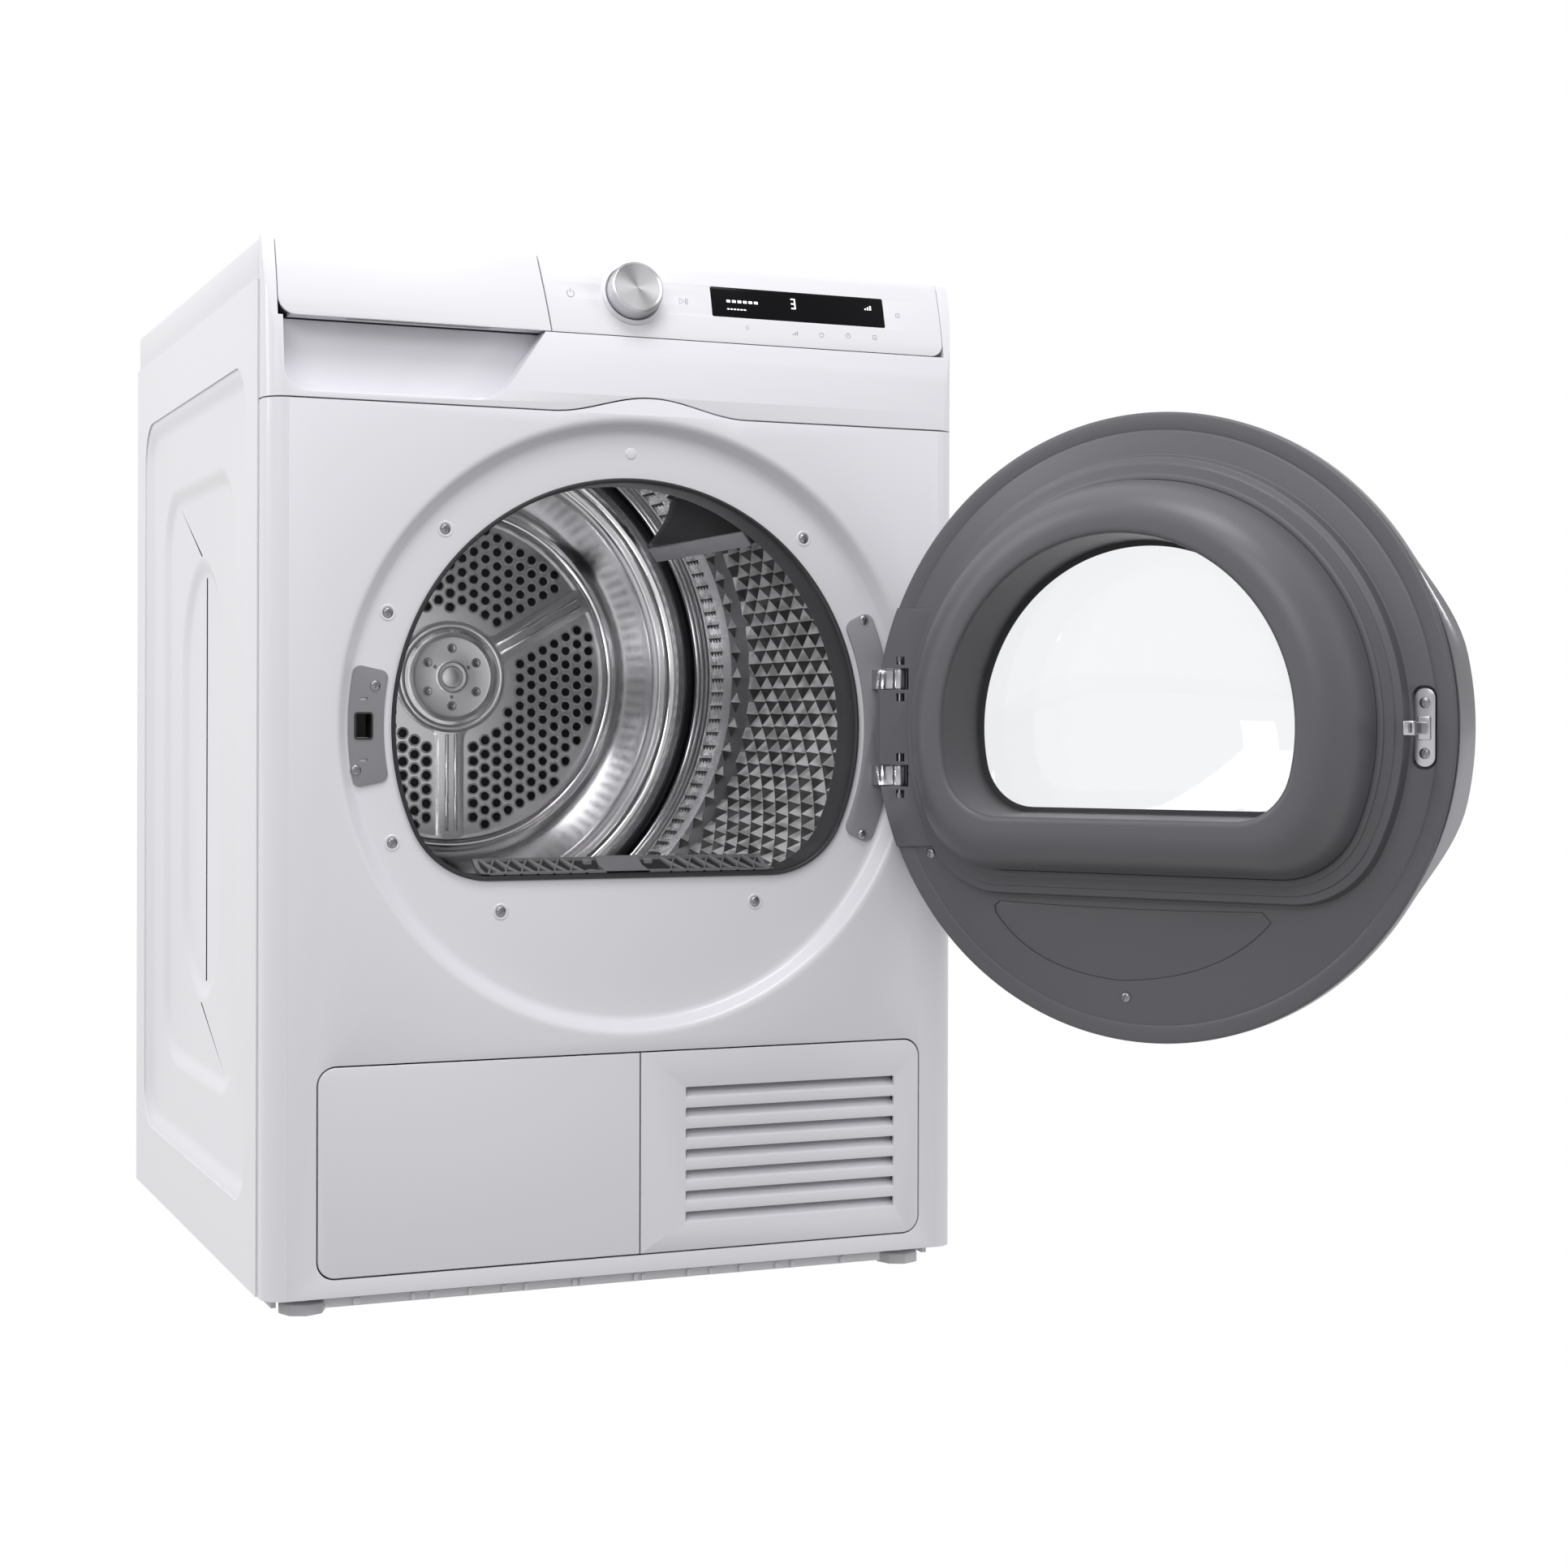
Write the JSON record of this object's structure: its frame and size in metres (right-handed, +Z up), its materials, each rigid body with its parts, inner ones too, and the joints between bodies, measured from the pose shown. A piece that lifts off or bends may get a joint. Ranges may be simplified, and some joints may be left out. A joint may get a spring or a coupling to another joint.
{
  "type": "clothes dryer",
  "caption": "Free-standing heat-pump clothes dryer: white cabinet, open round door with a windowed bowl, steel drum with lifters, and a control strip.",
  "frame": {"origin": "middle of the cabinet's footprint, level with the floor under the feet", "axes": "+Z up, -Y out of the front, where the door and the controls are, +X to the right seen from the front; stored with the door open"},
  "size_m": [0.8336, 1.0214, 0.85],
  "materials": {
    "white_paint": "gloss",
    "white_plastic": "gloss",
    "dark_plastic": "satin",
    "black_plastic": "matte",
    "grey_plastic": "satin",
    "ivory_plastic": "satin",
    "stainless": "polished",
    "zinc_steel": "satin",
    "aluminium": "satin",
    "satin_metal": "brushed",
    "black_steel": "satin",
    "rubber": "matte",
    "felt": "matte",
    "window_glass": "clear",
    "black_glass": "gloss",
    "circuit_board": "satin"
  },
  "bodies": {
    "cabinet": {"base_moulding": "ivory_plastic", "side_panel_left": "white_paint", "side_panel_right": "white_paint", "rear_panel": "zinc_steel", "top_cover": "white_paint", "lower_front_panel": "white_paint", "upper_front_panel": "white_plastic", "front_bulkhead": "black_plastic", "rear_air_duct": "grey_plastic", "drum_bearing": "zinc_steel", "drum_felt_seal": "felt", "drive_belt": "rubber", "drive_motor": "black_steel", "fan_housing": "grey_plastic", "evaporator": "aluminium", "condenser": "aluminium", "heat_pump_housing": "grey_plastic", "heat_pump_cover": "dark_plastic", "compressor": "black_steel", "condensate_pump": "black_plastic", "mains_inlet": "black_plastic", "cooling_grille": "white_plastic", "control_panel": "white_plastic", "display_window": "black_glass", "control_board": "circuit_board", "tank_tray": "grey_plastic", "hinge_bracket": "grey_plastic", "hinge_pin": "zinc_steel", "door_catch": "grey_plastic"},
    "door": {"door_ring": "satin_metal", "door_inner_frame": "dark_plastic", "inner_pane": "window_glass", "outer_pane": "window_glass", "door_seal": "rubber", "door_striker": "stainless", "hinge_leaf": "stainless"},
    "drum": {"drum_shell": "stainless", "drum_rear_wall": "stainless", "drum_shaft": "zinc_steel", "drum_lifter_1": "dark_plastic", "drum_lifter_2": "dark_plastic", "drum_lifter_3": "dark_plastic"},
    "rotor": {"motor_shaft": "zinc_steel", "process_fan": "dark_plastic"},
    "tensioner": {"tensioner_arm": "zinc_steel"},
    "idler": {"tensioner_pulley": "dark_plastic"},
    "roller_left": {"drum_roller_left": "rubber"},
    "roller_right": {"drum_roller_right": "rubber"},
    "knob": {"program_knob": "satin_metal"},
    "tank": {"water_tank": "white_plastic"},
    "filter": {"lint_filter": "dark_plastic"},
    "service_door": {"heat_pump_door": "white_plastic"},
    "lever_left": {"cover_lever_1": "grey_plastic"},
    "lever_right": {"cover_lever_2": "grey_plastic"},
    "plunger": {"push_latch_plunger": "dark_plastic"},
    "pawl": {"catch_pawl": "zinc_steel"},
    "foot_fl": {"foot_front_left": "grey_plastic"},
    "foot_fr": {"foot_front_right": "grey_plastic"},
    "foot_rl": {"foot_rear_left": "grey_plastic"},
    "foot_rr": {"foot_rear_right": "grey_plastic"}
  },
  "joints": [
    {"name": "door_hinge", "type": "hinge", "parent": "cabinet", "child": "door", "pos_m": [0.24, -0.312, 0.465], "axis": [0, 0, 1], "range_deg": [-123, 2]},
    {"name": "drum_turn", "type": "hinge", "parent": "cabinet", "child": "drum", "pos_m": [-0.005, 0, 0.515], "axis": [0, 1, 0], "continuous": true},
    {"name": "motor_turn", "type": "hinge", "parent": "cabinet", "child": "rotor", "pos_m": [0.19, 0.052, 0.14], "axis": [0, 1, 0], "continuous": true},
    {"name": "tensioner_swing", "type": "hinge", "parent": "cabinet", "child": "tensioner", "pos_m": [0.23752, 0.0665, 0.06], "axis": [0, 1, 0], "range_deg": [0, 8], "stiffness_Nm_per_rad": 6, "springref_deg": -5.73},
    {"name": "idler_turn", "type": "hinge", "parent": "tensioner", "child": "idler", "pos_m": [0.22552, 0.052, 0.16819], "axis": [0, 1, 0], "continuous": true},
    {"name": "roller_left_turn", "type": "hinge", "parent": "cabinet", "child": "roller_left", "pos_m": [-0.17225, -0.225, 0.27614], "axis": [0, 1, 0], "continuous": true},
    {"name": "roller_right_turn", "type": "hinge", "parent": "cabinet", "child": "roller_right", "pos_m": [0.16226, -0.225, 0.27614], "axis": [0, 1, 0], "continuous": true},
    {"name": "knob_turn", "type": "hinge", "parent": "cabinet", "child": "knob", "pos_m": [0.006, -0.28651, 0.822], "axis": [0, -0.9661, 0.2581], "continuous": true},
    {"name": "tank_slide", "type": "slide", "parent": "cabinet", "child": "tank", "axis": [0, -1, 0], "range_m": [0, 0.4]},
    {"name": "filter_lift", "type": "slide", "parent": "cabinet", "child": "filter", "axis": [0, 0, 1], "range_m": [0, 0.165]},
    {"name": "service_door_hinge", "type": "hinge", "parent": "cabinet", "child": "service_door", "pos_m": [-0.2565, -0.3002, 0.114], "axis": [0, 0, -1], "range_deg": [0, 100]},
    {"name": "lever_left_turn", "type": "hinge", "parent": "cabinet", "child": "lever_left", "pos_m": [-0.252, -0.234, 0.15], "axis": [0, -1, 0], "range_deg": [0, 90]},
    {"name": "lever_right_turn", "type": "hinge", "parent": "cabinet", "child": "lever_right", "pos_m": [-0.034, -0.234, 0.15], "axis": [0, 1, 0], "range_deg": [0, 90]},
    {"name": "plunger_push", "type": "slide", "parent": "cabinet", "child": "plunger", "axis": [0, 1, 0], "range_m": [0, 0.003], "stiffness_N_per_m": 500, "springref_m": -0.002},
    {"name": "pawl_push", "type": "slide", "parent": "cabinet", "child": "pawl", "axis": [0, 1, 0], "range_m": [0, 0.004], "stiffness_N_per_m": 800, "springref_m": -0.002},
    {"name": "foot_fl_screw", "type": "slide", "parent": "cabinet", "child": "foot_fl", "axis": [0, 0, -1], "range_m": [0, 0.012]},
    {"name": "foot_fr_screw", "type": "slide", "parent": "cabinet", "child": "foot_fr", "axis": [0, 0, -1], "range_m": [0, 0.012]},
    {"name": "foot_rl_screw", "type": "slide", "parent": "cabinet", "child": "foot_rl", "axis": [0, 0, -1], "range_m": [0, 0.012]},
    {"name": "foot_rr_screw", "type": "slide", "parent": "cabinet", "child": "foot_rr", "axis": [0, 0, -1], "range_m": [0, 0.012]}
  ],
  "couplings": [
    {"joint": "motor_turn", "follows": "drum_turn", "ratio": 26.8},
    {"joint": "idler_turn", "follows": "drum_turn", "ratio": -16.75},
    {"joint": "roller_left_turn", "follows": "drum_turn", "ratio": -12.182},
    {"joint": "roller_right_turn", "follows": "drum_turn", "ratio": -12.182}
  ]
}
